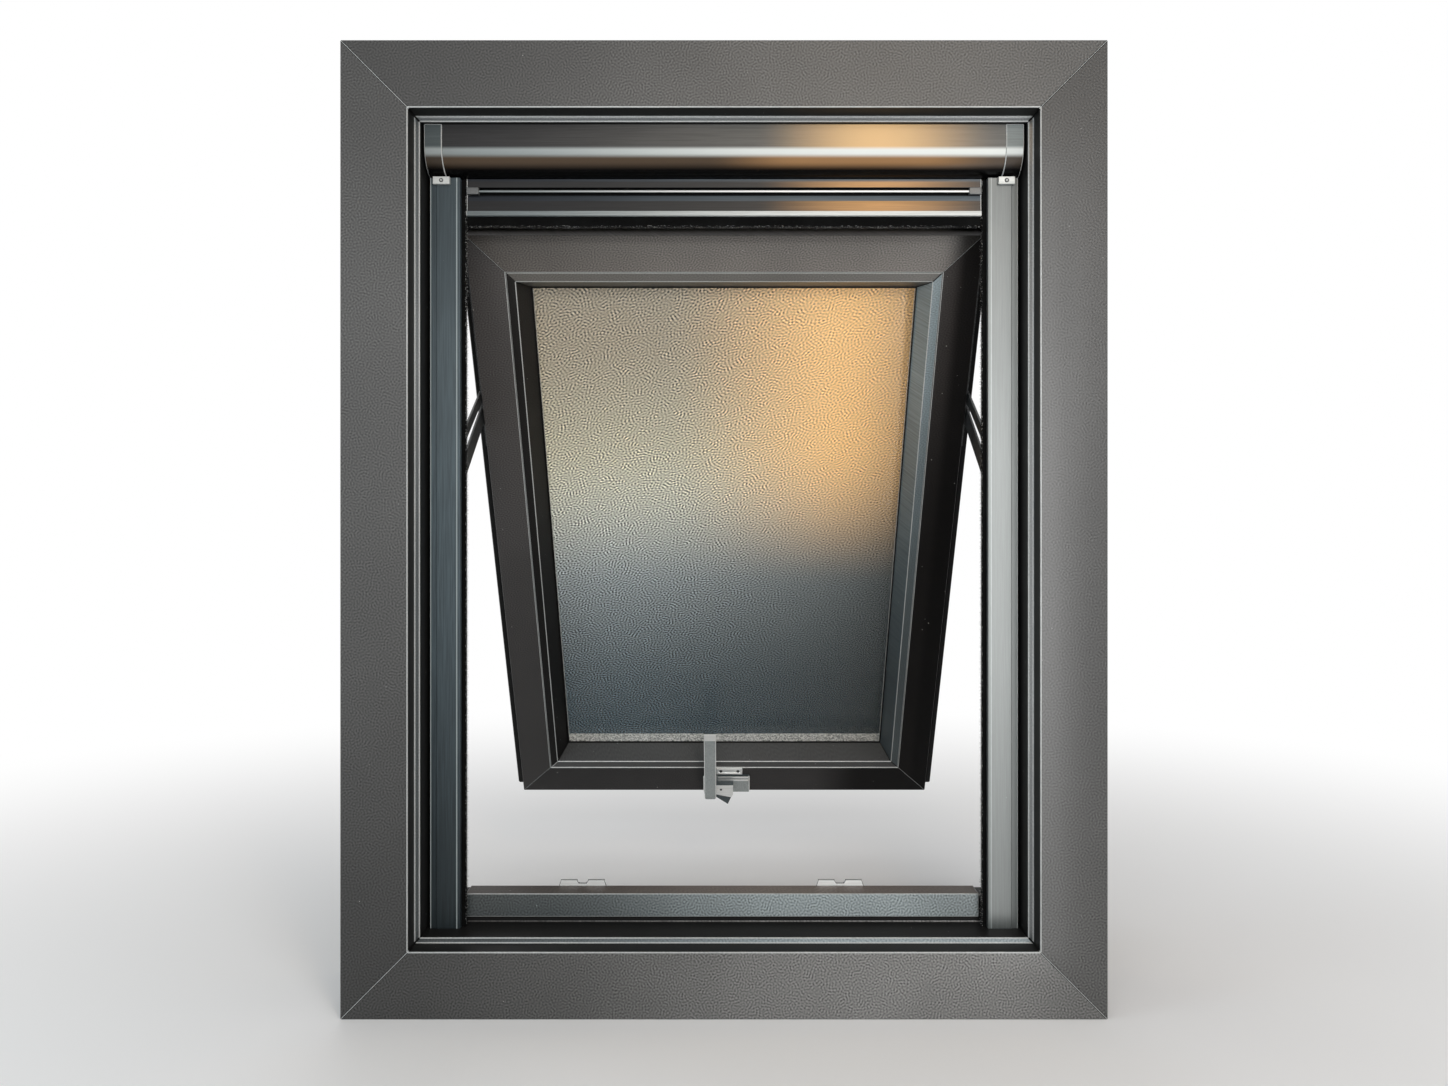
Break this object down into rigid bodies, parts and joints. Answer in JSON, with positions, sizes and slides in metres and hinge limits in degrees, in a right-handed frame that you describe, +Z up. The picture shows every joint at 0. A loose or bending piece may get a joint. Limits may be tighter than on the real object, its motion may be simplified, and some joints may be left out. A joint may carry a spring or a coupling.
{
  "type": "top hung awning window",
  "caption": "Anthracite top hung awning window standing open on friction stays, with obscure double glazing, a cam handle and a roll-up insect screen in the frame.",
  "frame": {"origin": "middle of the sill's bottom face: halfway along its length and halfway through the frame's depth", "axes": "+Z up, +Y from the room to the outside, +X to the right as seen from the room"},
  "size_m": [0.75, 0.5155, 0.957],
  "materials": {
    "frame_coat": "anthracite textured powder coat",
    "sash_coat": "anthracite textured powder coat",
    "screen_metal": "satin grey anodised",
    "screen_plastic": "satin grey moulded",
    "bright_metal": "bright satin",
    "brush_pile": "black pile",
    "black_rubber": "matt black",
    "clear_glass": "clear float",
    "obscure_glass": "obscure, worm-grain pressed",
    "stay_steel": "grey stainless",
    "handle_silver": "satin silver"
  },
  "bodies": {
    "window": {"frame_sill": "frame_coat", "frame_head": "frame_coat", "frame_left_jamb": "frame_coat", "frame_right_jamb": "frame_coat", "sash_bottom_rail": "sash_coat", "sash_top_rail": "sash_coat", "sash_left_stile": "sash_coat", "sash_right_stile": "sash_coat", "bead_bottom": "sash_coat", "bead_top": "sash_coat", "bead_left": "sash_coat", "bead_right": "sash_coat", "screen_cassette": "screen_metal", "guide_rail_left": "screen_metal", "guide_rail_right": "screen_metal", "pull_bar": "screen_metal", "sill_cover_strip": "screen_metal", "cassette_end_cap_left": "screen_plastic", "cassette_end_cap_right": "screen_plastic", "rod_holder_left": "screen_plastic", "rod_holder_right": "screen_plastic", "rail_clip_left": "bright_metal", "rail_clip_right": "bright_metal", "pull_bar_rod": "bright_metal", "glass_spacer": "bright_metal", "striker_left": "bright_metal", "striker_right": "bright_metal", "rail_brush_left": "brush_pile", "rail_brush_right": "brush_pile", "pull_bar_brush": "brush_pile", "sash_seal": "black_rubber", "glazing_gasket": "black_rubber", "glass_inner_pane": "clear_glass", "glass_outer_pane": "obscure_glass", "stay_track_left": "stay_steel", "stay_sash_bar_left": "stay_steel", "stay_long_arm_left": "stay_steel", "stay_short_arm_left": "stay_steel", "stay_track_right": "stay_steel", "stay_sash_bar_right": "stay_steel", "stay_long_arm_right": "stay_steel", "stay_short_arm_right": "stay_steel", "handle_base": "handle_silver", "handle_keep_plate": "handle_silver"},
    "handle": {"handle_lever": "handle_silver"}
  },
  "joints": [
    {"name": "handle_turn", "type": "hinge", "parent": "window", "child": "handle", "pos_m": [-0.019, 0.3874, 0.12814], "axis": [0, 0.8878, 0.4602], "range_deg": [0, 90]}
  ]
}
